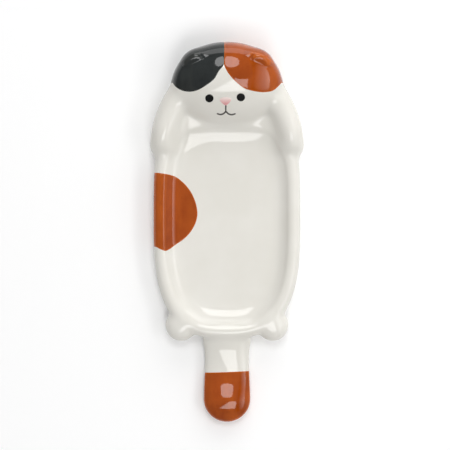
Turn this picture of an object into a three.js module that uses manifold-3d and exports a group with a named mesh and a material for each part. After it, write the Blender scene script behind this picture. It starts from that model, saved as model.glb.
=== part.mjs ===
// Spoon and chopstick rest in glazed ceramic: a cat lying on its back, with a long shallow dish for a belly.
// The clay members are formed apart and luted to each other with slip, and the coloured glaze fields lie on
// their skin. Millimetres, +Z up, +Y towards the head; the origin is on the table, under the middle.

import * as THREE from "three";
import { mergeVertices } from "three/addons/utils/BufferGeometryUtils.js";
import Module from "manifold-3d";

const wasm = await Module();
wasm.setup();

// Joints and glaze
const SLIP_JOINT = 0.3; // room for slip where one clay member is luted to the next
const GLAZE_THICKNESS = 0.5; // a field of coloured glaze
const GLAZE_BED = 0.1; // room between the clay and the coloured glaze on it

// Tray: the belly, an oblong dish on a foot ring
const TRAY_LENGTH = 144.5;
const TRAY_WIDTH = 92.4;
const TRAY_HIP_POWER = 2.8; // power of the outline at the tail end: 2 is an ellipse, more is squarer
const TRAY_NECK_POWER = 4;
const RIM_HEIGHT = 16;
const RIM_ROLL = 4.6; // radius of the rolled rim
const WALL_SLOPE = 41; // degrees, where the wall of the dish is steepest
const FLOOR_HEIGHT = 10.7;
const FLOOR_THICKNESS = 5.5;
const FLOOR_MARGIN = 17.5; // outside of the rim to the flat of the dish, at the sides
const HIP_MARGIN = 21.4; // the same at the tail end
const CHEST_MARGIN = 30.4; // and at the neck end, where the dish slopes up to the chin
const FOOT_MARGIN = 9; // outside of the rim to the foot ring
const FOOT_WIDTH = 5;
const FOOT_DRAFT = 1.5; // lean of the inside of the foot ring

// Head: a hollow pebble, tipped towards the feet, with a drying hole below
const HEAD_LENGTH = 51; // seen from above
const HEAD_WIDTH = 69;
const HEAD_THICKNESS = 33.2;
const HEAD_TOP = 34;
const HEAD_TIP = 16; // degrees by which the crown is tipped up
const HEAD_WALL = 6;
const HEAD_HOLE_WIDTH = 30;
const HEAD_HOLE_LENGTH = 20;
const NECK_LAP = 9.5; // how far the tray runs in below the chin

// Ears: lobes at the corners of the crown, each with its inside pressed flat towards the forehead
const EAR_SPREAD = 40.6;
const EAR_SET_BACK = 12.4; // from the middle of the head
const EAR_LENGTH = 18;
const EAR_BREADTH = 15;
const EAR_HEIGHT = 32; // of the whole lobe, before it is seated and its inside is pressed
const EAR_LIFT = 7.5; // middle of the lobe above the girth of the head
const EAR_SLANT = 26; // degrees by which the long way drops outwards
const EAR_PITCH = 24; // degrees by which the inside rises from the forehead
const EAR_CREASE = 1.5; // from the middle of the ear forward to its crease with the forehead

// Arms: thick rolls from behind the cheeks over the rim to the elbows
const SHOULDER_WIDTH = 18.4;
const ELBOW_WIDTH = 14.4;
const ARM_THICKNESS = 16;
const SHOULDER_TOP = 24;
const ELBOW_TOP = 22;
const SHOULDER_SPREAD = 50;
const ARM_BEND_RISE = 8; // bend of the arm above the chin, along the cat
const ARM_BEND_INSET = 1.6; // the same, inside the line of the elbow
const ELBOW_REACH = 2.8; // elbow beyond the side of the tray
const ELBOW_DROP = 20.6; // tip of the elbow below the chin, along the cat

// Hind paws: plump pads on the two lower corners of the rim
const PAW_WIDTH = 19.6;
const PAW_LENGTH = 20;
const PAW_THICKNESS = 12.4;
const PAW_TOP = 15.8;
const PAW_INSET = 7.3; // paw inside the side of the tray
const PAW_OVERHANG = 1.6; // paw beyond the lower end of the tray

// Tail: a flat rounded bar that serves as the handle, with a waist and a swollen end
const TAIL_LENGTH = 52.8; // beyond the tray
const TAIL_LAP = 10; // how far it starts inside the tray
const TAIL_ROOT_WIDTH = 33;
const TAIL_WAIST_WIDTH = 27.8;
const TAIL_END_WIDTH = 28.8;
const TAIL_ROOT_TOP = 15.1;
const TAIL_WAIST_TOP = 9.3;
const TAIL_END_TOP = 12.1;
const TAIL_WAIST_REACH = 24; // from the tray to the waist
const TAIL_SWELL_REACH = 40; // from the tray to the top of the swollen end
const TAIL_CLEARANCE = 1.5;

// Coloured glaze on the head: two caps that leave a white blaze between them
const SEAM_OFFSET = -1.9; // meeting line of the caps, from the middle of the head
const BLAZE_RISE = 9.6; // point of the blaze above the middle of the head
const CAP_DROP = 6.2; // lowest edge of the caps below the middle of the head
const CAP_LOW_OFFSET = 23; // where that lowest edge is, sideways
const CAP_SIDE_RISE = 1.5; // edge of the caps at the side of the head
const CAP_HEM_HEIGHT = 6; // the caps stop at this height above the table

// Face
const FACE_OFFSET = -1.1; // middle of the face, from the middle of the head
const EYE_SPACING = 19.6;
const EYE_DROP = 9.8;
const EYE_WIDTH = 5.2;
const EYE_LENGTH = 4.9;
const NOSE_WIDTH = 7.2;
const NOSE_LENGTH = 4.9;
const NOSE_DROP = 9.3;
const MOUTH_WIDTH = 12;
const MOUTH_STEM = 3.6;
const MOUTH_DIP = 1.4;
const MOUTH_LINE = 0.8;

// Coloured glaze on the flank and on the end of the tail
const FLANK_LENGTH = 49.2;
const FLANK_BREADTH = 46;
const FLANK_INSET = 4.2; // middle of the patch inside the left side of the tray
const FLANK_RISE = 79.6; // middle of the patch from the lower end of the tray
const FLANK_HEM_HEIGHT = 6;
const TAIL_DIP_LENGTH = 31.4; // end of the tail that is dipped in colour

// Fineness of the round forms
const PLAN_SIDES = 60;
const SECTION_STEPS = 4;
const HEAD_SIDES = 32;
const PAD_SIDES = 20;
const LIMB_SIDES = 20;
const LIMB_RINGS = 14;
const CURVE_STEPS = 8;
const WELD = 1e-4;

// Places that follow from the sizes
const GLAZE_REACH = GLAZE_BED + GLAZE_THICKNESS;
const CLAY_LENGTH = HEAD_LENGTH - NECK_LAP + TRAY_LENGTH + TAIL_LENGTH;
const TAIL_TIP_Y = -CLAY_LENGTH / 2;
const TRAY_LOW_Y = TAIL_TIP_Y + TAIL_LENGTH;
const TRAY_MIDDLE_Y = TRAY_LOW_Y + TRAY_LENGTH / 2;
const TRAY_SIDE_X = TRAY_WIDTH / 2;
const CHIN_Y = TRAY_LOW_Y + TRAY_LENGTH - NECK_LAP;
const HEAD_Y = CHIN_Y + HEAD_LENGTH / 2;
const HEAD_TURN = THREE.MathUtils.degToRad(HEAD_TIP);
const TIP_SINE = Math.sin(HEAD_TURN);
const TIP_COSINE = Math.cos(HEAD_TURN);
const HALF_THICKNESS = HEAD_THICKNESS / 2;
const HALF_LONG = Math.sqrt((HEAD_LENGTH / 2) ** 2 - (HALF_THICKNESS * TIP_SINE) ** 2) / TIP_COSINE;
const HEAD_RISE = Math.hypot(HALF_LONG * TIP_SINE, HALF_THICKNESS * TIP_COSINE);
const HEAD_RADII = new THREE.Vector3(HEAD_WIDTH / 2, HALF_LONG, HALF_THICKNESS);
const HEAD_GIRTH = HEAD_TOP - HEAD_RISE; // height of the middle of the head
const BEYOND = HEAD_LENGTH + TRAY_WIDTH; // past the outside of any member

// Solids

function toSolid(geometry) {
  const bare = geometry.clone();
  bare.deleteAttribute("normal");
  bare.deleteAttribute("uv");
  const welded = mergeVertices(bare, WELD);
  return new wasm.Manifold(new wasm.Mesh({
    numProp: 3,
    vertProperties: welded.attributes.position.array,
    triVerts: new Uint32Array(welded.index.array),
  }));
}

function toGeometry(solid) {
  const { vertProperties, triVerts } = solid.getMesh();
  const geometry = new THREE.BufferGeometry();
  geometry.setAttribute("position", new THREE.BufferAttribute(vertProperties, 3));
  geometry.setIndex(new THREE.BufferAttribute(triVerts, 1));
  geometry.computeVertexNormals();
  return geometry;
}

// The same form with every side moved out by an amount, or in where it is negative.
function grown(geometry, amount) {
  geometry.computeBoundingBox();
  const size = geometry.boundingBox.getSize(new THREE.Vector3());
  const centre = geometry.boundingBox.getCenter(new THREE.Vector3());
  const factor = size.clone().addScalar(2 * amount).divide(size);
  return geometry.clone()
    .translate(-centre.x, -centre.y, -centre.z)
    .scale(factor.x, factor.y, factor.z)
    .translate(centre.x, centre.y, centre.z);
}

function ball(radii, centre, sides) {
  return new THREE.SphereGeometry(1, sides, sides / 2)
    .rotateX(Math.PI / 2)
    .scale(radii.x, radii.y, radii.z)
    .translate(centre.x, centre.y, centre.z);
}

function slab(low, high) {
  const size = high.clone().sub(low);
  const centre = high.clone().add(low).divideScalar(2);
  return toSolid(new THREE.BoxGeometry(size.x, size.y, size.z).translate(centre.x, centre.y, centre.z));
}

// Everything between two heights.
function layer(low, high) {
  return slab(new THREE.Vector3(-BEYOND, -CLAY_LENGTH, low), new THREE.Vector3(BEYOND, CLAY_LENGTH, high));
}

// A closed skin over rings of points. The rings turn right-handed about the way from start to end.
function skin(start, rings, end) {
  const sides = rings[0].length;
  const points = [start, ...rings.flat(), end];
  const at = (ring, side) => 1 + ring * sides + (side % sides);
  const lastRing = rings.length - 1;
  const triangles = [];
  for (let side = 0; side < sides; side += 1) {
    triangles.push(0, at(0, side + 1), at(0, side));
    for (let ring = 0; ring < lastRing; ring += 1) {
      triangles.push(at(ring, side), at(ring, side + 1), at(ring + 1, side + 1));
      triangles.push(at(ring, side), at(ring + 1, side + 1), at(ring + 1, side));
    }
    triangles.push(points.length - 1, at(lastRing, side), at(lastRing, side + 1));
  }
  const geometry = new THREE.BufferGeometry().setFromPoints(points);
  geometry.setIndex(triangles);
  return geometry;
}

// Radius of a rounded oblong, at an angle from its half width towards its half length.
function oblongRadius(angle, halfWidth, halfLength, power) {
  const across = Math.abs(Math.cos(angle) / halfWidth) ** power;
  const along = Math.abs(Math.sin(angle) / halfLength) ** power;
  return (across + along) ** (-1 / power);
}

// The points of a line moved sideways, to the right of its direction for a positive distance.
function offsetLine(points, distance, closed) {
  const count = points.length;
  return points.map((point, i) => {
    const before = points[closed ? (i + count - 1) % count : Math.max(i - 1, 0)];
    const after = points[closed ? (i + 1) % count : Math.min(i + 1, count - 1)];
    const way = after.clone().sub(before).normalize();
    return new THREE.Vector2(point.x + way.y * distance, point.y - way.x * distance);
  });
}

function prism(outline, low, high) {
  const shape = new THREE.Shape(outline);
  const geometry = new THREE.ExtrudeGeometry(shape, { depth: high - low, bevelEnabled: false });
  return toSolid(geometry.translate(0, 0, low));
}

// Tray

// Half of the section: from under the middle round the foot and the rim to the flat of the dish. Its x is the
// distance outwards from the outside of the rim.
function traySection() {
  const shoulder = RIM_HEIGHT - RIM_ROLL;
  const slope = THREE.MathUtils.degToRad(WALL_SLOPE);
  const wallX = -RIM_ROLL - RIM_ROLL * Math.sin(slope);
  const wallHeight = shoulder + RIM_ROLL * Math.cos(slope);
  const toe = wallX - (wallHeight - FLOOR_HEIGHT) / Math.tan(slope);
  const section = new THREE.Path();
  section.moveTo(-FOOT_MARGIN - FOOT_WIDTH - FOOT_DRAFT, FLOOR_HEIGHT - FLOOR_THICKNESS);
  section.lineTo(-FOOT_MARGIN - FOOT_WIDTH, 0);
  section.lineTo(-FOOT_MARGIN, 0);
  section.bezierCurveTo(-FOOT_MARGIN / 2, 0, 0, shoulder / 2, 0, shoulder);
  section.absarc(-RIM_ROLL, shoulder, RIM_ROLL, 0, Math.PI / 2 + slope, false);
  section.quadraticCurveTo(toe, FLOOR_HEIGHT, -FLOOR_MARGIN, FLOOR_HEIGHT);
  return section.getPoints(SECTION_STEPS);
}

// Inwards from the crest of the rim, the section is drawn out to the margin that the dish has at its ends.
function drawnOut(x, margin) {
  const inwards = Math.max(0, -RIM_ROLL - x);
  return x - (inwards * (margin - FLOOR_MARGIN)) / (FLOOR_MARGIN - RIM_ROLL);
}

function trayRing(x, height) {
  const ring = [];
  for (let side = 0; side < PLAN_SIDES; side += 1) {
    const angle = (side / PLAN_SIDES) * 2 * Math.PI;
    const neck = angle < Math.PI;
    const halfLength = TRAY_LENGTH / 2 + drawnOut(x, neck ? CHEST_MARGIN : HIP_MARGIN);
    const power = neck ? TRAY_NECK_POWER : TRAY_HIP_POWER;
    const radius = oblongRadius(angle, TRAY_SIDE_X + x, halfLength, power);
    ring.push(new THREE.Vector3(radius * Math.cos(angle), TRAY_MIDDLE_Y + radius * Math.sin(angle), height));
  }
  return ring;
}

function trayForm(growth) {
  const line = offsetLine(traySection(), growth, false);
  const rings = line.map((point) => trayRing(point.x, point.y));
  const under = new THREE.Vector3(0, TRAY_MIDDLE_Y, line[0].y);
  const floor = new THREE.Vector3(0, TRAY_MIDDLE_Y, line[line.length - 1].y);
  return skin(under, rings, floor);
}

// Limbs

// An oval bar along a line that runs towards the tail, closing to a dome over its end roundings.
function limbForm({ line, halfWidth, top, bottom, startRounding, endRounding }) {
  const length = line.getLength();
  const dome = (distance, rounding) => Math.sqrt(Math.max(0, 1 - Math.max(0, 1 - distance / rounding) ** 2));
  const rings = [];
  for (let ring = 1; ring < LIMB_RINGS; ring += 1) {
    const share = (1 - Math.cos((ring / LIMB_RINGS) * Math.PI)) / 2;
    const closing = dome(share * length, startRounding) * dome((1 - share) * length, endRounding);
    const centre = line.getPointAt(share);
    const points = [];
    for (let side = 0; side < LIMB_SIDES; side += 1) {
      const angle = (side / LIMB_SIDES) * 2 * Math.PI;
      const across = closing * halfWidth(share) * Math.cos(angle);
      const up = (closing * (top(share) - bottom(share)) * Math.sin(angle)) / 2;
      points.push(new THREE.Vector3(centre.x + across, centre.y, (top(share) + bottom(share)) / 2 + up));
    }
    rings.push(points);
  }
  const [start, end] = [0, 1].map((share) => {
    const point = line.getPointAt(share);
    return new THREE.Vector3(point.x, point.y, (top(share) + bottom(share)) / 2);
  });
  return skin(start, rings, end);
}

function armForm(hand) {
  const elbowX = TRAY_SIDE_X + ELBOW_REACH - ELBOW_WIDTH / 2;
  const line = new THREE.QuadraticBezierCurve(
    new THREE.Vector2((hand * SHOULDER_SPREAD) / 2, HEAD_Y),
    new THREE.Vector2(hand * (elbowX - ARM_BEND_INSET), CHIN_Y + ARM_BEND_RISE),
    new THREE.Vector2(hand * elbowX, CHIN_Y - ELBOW_DROP),
  );
  const top = (share) => THREE.MathUtils.lerp(SHOULDER_TOP, ELBOW_TOP, share);
  return limbForm({
    line,
    halfWidth: (share) => THREE.MathUtils.lerp(SHOULDER_WIDTH, ELBOW_WIDTH, share) / 2,
    top,
    bottom: (share) => top(share) - ARM_THICKNESS,
    startRounding: SHOULDER_WIDTH / 2,
    endRounding: ELBOW_WIDTH / 2,
  });
}

function tailForm() {
  const startY = TRAY_LOW_Y + TAIL_LAP;
  const line = new THREE.LineCurve(new THREE.Vector2(0, startY), new THREE.Vector2(0, TAIL_TIP_Y));
  const widths = new THREE.QuadraticBezierCurve(
    new THREE.Vector2(TAIL_ROOT_WIDTH / 2, 0),
    new THREE.Vector2(TAIL_WAIST_WIDTH - (TAIL_ROOT_WIDTH + TAIL_END_WIDTH) / 4, 0),
    new THREE.Vector2(TAIL_END_WIDTH / 2, 0),
  );
  const top = (share) => {
    const reach = share * (startY - TAIL_TIP_Y) - TAIL_LAP;
    const sinking = THREE.MathUtils.smoothstep(reach, -TAIL_LAP, TAIL_WAIST_REACH);
    const swelling = THREE.MathUtils.smoothstep(reach, TAIL_WAIST_REACH, TAIL_SWELL_REACH);
    const waist = THREE.MathUtils.lerp(TAIL_ROOT_TOP, TAIL_WAIST_TOP, sinking);
    return THREE.MathUtils.lerp(waist, TAIL_END_TOP, swelling);
  };
  return limbForm({
    line,
    halfWidth: (share) => widths.getPoint(share).x,
    top,
    bottom: () => TAIL_CLEARANCE,
    startRounding: RIM_ROLL,
    endRounding: TAIL_END_WIDTH / 2,
  });
}

function pawForm(hand) {
  const radii = new THREE.Vector3(PAW_WIDTH / 2, PAW_LENGTH / 2, PAW_THICKNESS / 2);
  const centre = new THREE.Vector3(
    hand * (TRAY_SIDE_X - PAW_INSET - PAW_WIDTH / 2),
    TRAY_LOW_Y - PAW_OVERHANG + PAW_LENGTH / 2,
    PAW_TOP - PAW_THICKNESS / 2,
  );
  return ball(radii, centre, PAD_SIDES);
}

// Head and ears

function headForm(growth) {
  return ball(HEAD_RADII.clone().addScalar(growth), new THREE.Vector3(), HEAD_SIDES)
    .rotateX(HEAD_TURN)
    .translate(0, HEAD_Y, HEAD_GIRTH);
}

// Height of the skin of the head above a point of the table.
function headTop(x, y) {
  const along = y - HEAD_Y;
  const square = (TIP_SINE / HEAD_RADII.y) ** 2 + (TIP_COSINE / HEAD_RADII.z) ** 2;
  const linear = along * TIP_SINE * TIP_COSINE * (HEAD_RADII.y ** -2 - HEAD_RADII.z ** -2);
  const level = (along * TIP_COSINE / HEAD_RADII.y) ** 2 + (along * TIP_SINE / HEAD_RADII.z) ** 2;
  const beyond = (x / HEAD_RADII.x) ** 2 + level - 1;
  return HEAD_GIRTH + (Math.sqrt(linear ** 2 - square * beyond) - linear) / square;
}

// A lobe that grows out of the crown, cut off by the sloping flat of its inside.
function earForm(hand, growth) {
  const slant = THREE.MathUtils.degToRad(EAR_SLANT);
  const along = new THREE.Vector3(hand * Math.cos(slant), -Math.sin(slant), 0);
  const out = new THREE.Vector3(hand * Math.sin(slant), Math.cos(slant), 0);
  const seat = new THREE.Vector3((hand * EAR_SPREAD) / 2, HEAD_Y + EAR_SET_BACK, HEAD_GIRTH + EAR_LIFT);
  const [inner, outer] = [-1, 1].map((end) => {
    const spot = seat.clone().addScaledVector(out, -EAR_CREASE);
    spot.addScaledVector(along, (end * EAR_LENGTH) / 4);
    return spot.setZ(headTop(spot.x, spot.y));
  });
  const rise = out.clone().setZ(Math.tan(THREE.MathUtils.degToRad(EAR_PITCH)));
  const run = outer.clone().sub(inner).multiplyScalar(hand).normalize();
  const normal = run.clone().cross(rise).normalize();
  const flat = new THREE.Matrix4().makeBasis(run, normal.clone().cross(run), normal);
  flat.setPosition(inner.add(outer).divideScalar(2).addScaledVector(normal, growth));
  const under = new THREE.BoxGeometry(BEYOND, BEYOND, BEYOND).translate(0, 0, -BEYOND / 2).applyMatrix4(flat);
  const radii = new THREE.Vector3(EAR_LENGTH / 2, EAR_BREADTH / 2, EAR_HEIGHT / 2).addScalar(growth);
  const lobe = ball(radii, new THREE.Vector3(), PAD_SIDES).rotateZ(-hand * slant).translate(...seat);
  return toSolid(lobe).intersect(toSolid(under)).intersect(layer(HEAD_GIRTH - growth, BEYOND));
}

// Outlines of the glaze fields, seen from above

function capOutline(hand) {
  const apex = new THREE.Vector2(SEAM_OFFSET + hand * GLAZE_BED, HEAD_Y + BLAZE_RISE);
  const low = new THREE.Vector2(hand * CAP_LOW_OFFSET, HEAD_Y - CAP_DROP);
  const side = new THREE.Vector2((hand * HEAD_WIDTH) / 2, HEAD_Y + CAP_SIDE_RISE);
  const steep = (apex.y + low.y) / 2;
  const outline = new THREE.Path();
  outline.moveTo(apex.x, HEAD_Y + BEYOND);
  outline.lineTo(apex.x, apex.y);
  outline.bezierCurveTo(apex.x, steep, (apex.x + low.x) / 2, low.y, low.x, low.y);
  outline.quadraticCurveTo((low.x + side.x) / 2, low.y, side.x, side.y);
  outline.lineTo(hand * BEYOND, side.y);
  outline.lineTo(hand * BEYOND, HEAD_Y + BEYOND);
  return outline.getPoints(CURVE_STEPS);
}

function ovalOutline(x, y, width, length) {
  return new THREE.EllipseCurve(x, y, width / 2, length / 2).getPoints(2 * CURVE_STEPS).slice(1);
}

function noseOutline() {
  const top = HEAD_Y - NOSE_DROP;
  const tip = top - NOSE_LENGTH;
  const lobe = (NOSE_WIDTH * 2) / 3; // a curve with both handles this far out swells to half the width
  const left = FACE_OFFSET - lobe;
  const right = FACE_OFFSET + lobe;
  const outline = new THREE.Path();
  outline.moveTo(FACE_OFFSET, top);
  outline.bezierCurveTo(left, top, left, (top + tip) / 2, FACE_OFFSET, tip);
  outline.bezierCurveTo(right, (top + tip) / 2, right, top, FACE_OFFSET, top);
  return outline.getPoints(CURVE_STEPS).slice(1);
}

// The mouth is one stroke drawn down from the nose and one to each side of its lower end.
function mouthStrokes() {
  const start = new THREE.Vector2(FACE_OFFSET, HEAD_Y - NOSE_DROP - NOSE_LENGTH - MOUTH_LINE / 2);
  const fork = new THREE.Vector2(FACE_OFFSET, start.y - MOUTH_STEM);
  const smile = (hand) => new THREE.QuadraticBezierCurve(
    fork,
    new THREE.Vector2(fork.x + (hand * MOUTH_WIDTH) / 4, fork.y - 2 * MOUTH_DIP),
    new THREE.Vector2(fork.x + (hand * MOUTH_WIDTH) / 2, fork.y - MOUTH_DIP / 2),
  );
  return [new THREE.LineCurve(start, fork), smile(-1), smile(1)];
}

function strokeOutline(curve) {
  const points = curve.getPoints(CURVE_STEPS);
  const right = offsetLine(points, MOUTH_LINE / 2, false);
  const left = offsetLine(points, -MOUTH_LINE / 2, false);
  return [...right, ...left.reverse()];
}

// Clay members, each cut to seat on the ones it is luted to

const headCut = toSolid(headForm(SLIP_JOINT));
const trayCut = toSolid(trayForm(SLIP_JOINT));
const dryingHole = prism(ovalOutline(0, HEAD_Y, HEAD_HOLE_WIDTH, HEAD_HOLE_LENGTH), -BEYOND, HEAD_GIRTH);
const head = toSolid(headForm(0))
  .intersect(layer(0, BEYOND))
  .subtract(toSolid(headForm(-HEAD_WALL)))
  .subtract(dryingHole);
const tray = toSolid(trayForm(0)).subtract(headCut);
const tail = toSolid(tailForm()).subtract(trayCut);

const hands = { left: -1, right: 1 };
const arms = {};
const armCuts = {};
const paws = {};
const ears = {};
const earCuts = {};
for (const [side, hand] of Object.entries(hands)) {
  arms[side] = toSolid(armForm(hand)).subtract(headCut).subtract(trayCut);
  armCuts[side] = toSolid(grown(armForm(hand), SLIP_JOINT));
  paws[side] = toSolid(pawForm(hand)).subtract(trayCut);
  ears[side] = earForm(hand, 0).subtract(headCut);
  earCuts[side] = earForm(hand, SLIP_JOINT);
}

// Glaze fields: thin layers over the clay, trimmed to their outlines

const headGlaze = toSolid(headForm(GLAZE_REACH)).subtract(toSolid(headForm(GLAZE_BED)));
const trayGlaze = toSolid(trayForm(GLAZE_REACH)).subtract(toSolid(trayForm(GLAZE_BED)));
const tailGlaze = toSolid(grown(tailForm(), GLAZE_REACH)).subtract(toSolid(grown(tailForm(), GLAZE_BED)));

function capField(side) {
  return headGlaze
    .intersect(prism(capOutline(hands[side]), CAP_HEM_HEIGHT, BEYOND))
    .subtract(earCuts[side])
    .subtract(armCuts[side]);
}

function faceField(outlines) {
  const prisms = outlines.map((outline) => prism(outline, HEAD_GIRTH, BEYOND));
  return headGlaze.intersect(prisms.reduce((joined, next) => joined.add(next)));
}

function eyeField(hand) {
  const x = FACE_OFFSET + (hand * EYE_SPACING) / 2;
  return faceField([ovalOutline(x, HEAD_Y - EYE_DROP, EYE_WIDTH, EYE_LENGTH)]);
}

function flankField() {
  const x = FLANK_INSET - TRAY_SIDE_X;
  const outline = ovalOutline(x, TRAY_LOW_Y + FLANK_RISE, FLANK_BREADTH, FLANK_LENGTH);
  return trayGlaze.intersect(prism(outline, FLANK_HEM_HEIGHT, BEYOND)).subtract(armCuts.left);
}

function tailField() {
  const low = new THREE.Vector3(-BEYOND, TAIL_TIP_Y - BEYOND, -BEYOND);
  const high = new THREE.Vector3(BEYOND, TAIL_TIP_Y + TAIL_DIP_LENGTH, BEYOND);
  return tailGlaze.intersect(slab(low, high));
}

// Finishes

const whiteGlaze = { color: 0xe5e2d9, roughness: 0.12, metalness: 0 };
const orangeGlaze = { color: 0xa64c1a, roughness: 0.12, metalness: 0 };
const darkGlaze = { color: 0x363939, roughness: 0.12, metalness: 0 };
const eyeBlack = { color: 0x141414, roughness: 0.2, metalness: 0 };
const nosePink = { color: 0xe0a09e, roughness: 0.2, metalness: 0 };
const mouthGrey = { color: 0x5a5650, roughness: 0.2, metalness: 0 };

const rest = new THREE.Group();

function place(name, solid, finish) {
  const mesh = new THREE.Mesh(toGeometry(solid), new THREE.MeshStandardMaterial(finish));
  mesh.name = name;
  rest.add(mesh);
}

place("tray", tray, whiteGlaze);
place("head", head, whiteGlaze);
place("tail", tail, whiteGlaze);
for (const side of Object.keys(hands)) {
  place(`arm_${side}`, arms[side], whiteGlaze);
  place(`hind_paw_${side}`, paws[side], whiteGlaze);
  place(`ear_${side}`, ears[side], side === "left" ? darkGlaze : orangeGlaze);
  place(`eye_${side}`, eyeField(hands[side]), eyeBlack);
}
place("dark_cap", capField("left"), darkGlaze);
place("orange_cap", capField("right"), orangeGlaze);
place("flank_patch", flankField(), orangeGlaze);
place("tail_dip", tailField(), orangeGlaze);
place("nose", faceField([noseOutline()]), nosePink);
place("mouth", faceField(mouthStrokes().map(strokeOutline)), mouthGrey);

export default rest;
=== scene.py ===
# %% [markdown]
# # A spoon and chopstick rest: a glazed cat lying on its back
# The real thing is clay. A dished belly, a head, two arms, two hind paws, two ears and a tail are formed,
# luted together with slip and dipped in white glaze, and fields of orange, charcoal, black and pink glaze
# go on top. The shapes could be modelled by eye, but then nothing would tie them to the measured solids.
# So the measured model is loaded first and stays fixed, and every piece made below goes where that model
# says.

# %% Load the measured model
import math

import bpy
import numpy as np
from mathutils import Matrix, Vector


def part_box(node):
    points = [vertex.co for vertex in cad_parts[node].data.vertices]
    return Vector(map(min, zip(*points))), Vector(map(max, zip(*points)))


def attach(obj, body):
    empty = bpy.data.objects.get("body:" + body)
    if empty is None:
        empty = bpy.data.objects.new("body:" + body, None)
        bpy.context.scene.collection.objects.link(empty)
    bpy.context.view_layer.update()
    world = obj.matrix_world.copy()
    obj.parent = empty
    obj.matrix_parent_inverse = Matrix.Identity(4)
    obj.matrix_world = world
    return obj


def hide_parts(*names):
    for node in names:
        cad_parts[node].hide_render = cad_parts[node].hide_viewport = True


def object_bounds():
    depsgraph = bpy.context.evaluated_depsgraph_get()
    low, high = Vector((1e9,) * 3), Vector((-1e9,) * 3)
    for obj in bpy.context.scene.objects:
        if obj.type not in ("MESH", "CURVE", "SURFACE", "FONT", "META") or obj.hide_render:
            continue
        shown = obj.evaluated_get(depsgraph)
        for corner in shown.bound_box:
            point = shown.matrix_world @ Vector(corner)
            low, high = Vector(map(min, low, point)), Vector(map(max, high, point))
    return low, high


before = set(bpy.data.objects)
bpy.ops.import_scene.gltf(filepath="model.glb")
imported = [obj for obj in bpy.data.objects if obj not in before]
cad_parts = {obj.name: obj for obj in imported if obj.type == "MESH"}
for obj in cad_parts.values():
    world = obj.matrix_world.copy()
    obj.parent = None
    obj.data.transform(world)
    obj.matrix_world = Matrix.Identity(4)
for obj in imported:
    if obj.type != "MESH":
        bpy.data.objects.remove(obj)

MM = 0.001
cad_box = [list(corner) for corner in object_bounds()]
print("measured model:", ", ".join(sorted(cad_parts)))


# %% [markdown]
# ## Sizes from the measured model
# Blender works in metres, a potter in millimetres. The sizes could be typed in again, but two lists of
# sizes drift apart. So they are read from the boxes of the measured pieces, and every shape below is
# worked out in millimetres until it becomes a mesh.

# %% Read the boxes of the clay members
def box_of(node):
    low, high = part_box(node)
    return np.array(low) / MM, np.array(high) / MM


tray_low, tray_high = box_of("tray")
head_low, head_high = box_of("head")
arm_low, arm_high = box_of("arm_right")
tail_low = box_of("tail")[0]
print("tray is", np.round(tray_high - tray_low, 1), "mm, head is", np.round(head_high - head_low, 1), "mm")


# %% [markdown]
# ## Clay as a distance
# Slip-joined clay has no edges: one member runs into the next in a soft hollow. Booleans and bevels leave
# pinched corners there, and metaballs can't be measured. So each member is written as a function that
# says how far a point lies outside its skin, negative inside. Two members are joined by a minimum that
# rounds its own crease, and trimming one by another is the same sum turned inside out.

# %% Join and trim
def join(a, b, rounding):
    share = np.maximum(rounding - np.abs(a - b), 0) / rounding
    return np.minimum(a, b) - share ** 3 * rounding / 6


def trim(a, b, rounding):
    return -join(-a, -b, rounding)


print("a rounding of 6 mm fills its crease by", -join(0.0, 0.0, 6.0), "mm")


# %% [markdown]
# ## Balls and rolls of clay
# Head, ears, arms, paws and tail start as balls and rolls, so one egg shape serves them all. A scaled
# sphere would look right, but it gives no distance to blend by. The egg's formula divided by its own
# slope does, near the skin, where the blending happens. A power above two makes the egg fuller above and
# below, which suits a flat head.

# %% Shape an egg
def egg(x, y, z, radii, power=2.0):
    u, v, w = x / radii[0], y / radii[1], np.abs(z / radii[2])
    level = np.sqrt(u * u + v * v) + 1e-9
    reach = (level ** power + w ** power) ** (1 / power)
    across = level ** (power - 2) * np.hypot(u / radii[0], v / radii[1])
    slope = np.hypot(across, w ** (power - 1) / radii[2]) + 1e-9
    return reach ** (power - 1) * (reach - 1) / slope


gap = egg(12.0, 0.0, 0.0, (10.0, 10.0, 10.0))
print("12 mm from the middle of a 10 mm ball is", round(gap, 2), "mm outside it")


# %% [markdown]
# ## The belly dish from above
# Seen from above the dish is a rounded oblong, squarer at the neck than at the hips. A drawn curve that
# is offset inwards kinks at its corners. Here the plan is a formula, and one number is solved from it for
# every point: how far the point lies inside the outside of the rim. Past the rim the rings draw back from
# both ends, most of all at the neck, and that makes the long slope of the chest.

# %% Measure how far a point lies inside the rim
RIM_ROLL = 4.6
NECK_LAP = 9.5
NECK_SQUARENESS = 4.0
HIP_SQUARENESS = 2.8
CHEST_STRETCH = 1.0
HIP_STRETCH = 0.3
FARTHEST_IN = 34.0
dish_half_width = (tray_high[0] - tray_low[0]) / 2
dish_half_length = (head_low[1] + NECK_LAP - tray_low[1]) / 2
dish_middle = tray_low[1] + dish_half_length


def inset(x, y):
    across, along = np.abs(x), np.abs(y - dish_middle)
    neck = y > dish_middle
    power = np.where(neck, NECK_SQUARENESS, HIP_SQUARENESS)
    stretch = np.where(neck, CHEST_STRETCH, HIP_STRETCH)
    s = np.minimum(np.minimum(dish_half_width - across, dish_half_length - along), FARTHEST_IN)
    for _ in range(7):
        a = dish_half_width - s
        b = dish_half_length - s - stretch * np.maximum(s - RIM_ROLL, 0)
        fa, fb = (across / a) ** power, (along / b) ** power
        rise = power * (fa / a + fb / b * (1 + stretch * (s > RIM_ROLL)))
        s = np.minimum(s - (fa + fb - 1) / np.maximum(rise, 1e-6), FARTHEST_IN)
    return s


print("dish is", round(2 * dish_half_width, 1), "by", round(2 * dish_half_length, 1), "mm")


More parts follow.
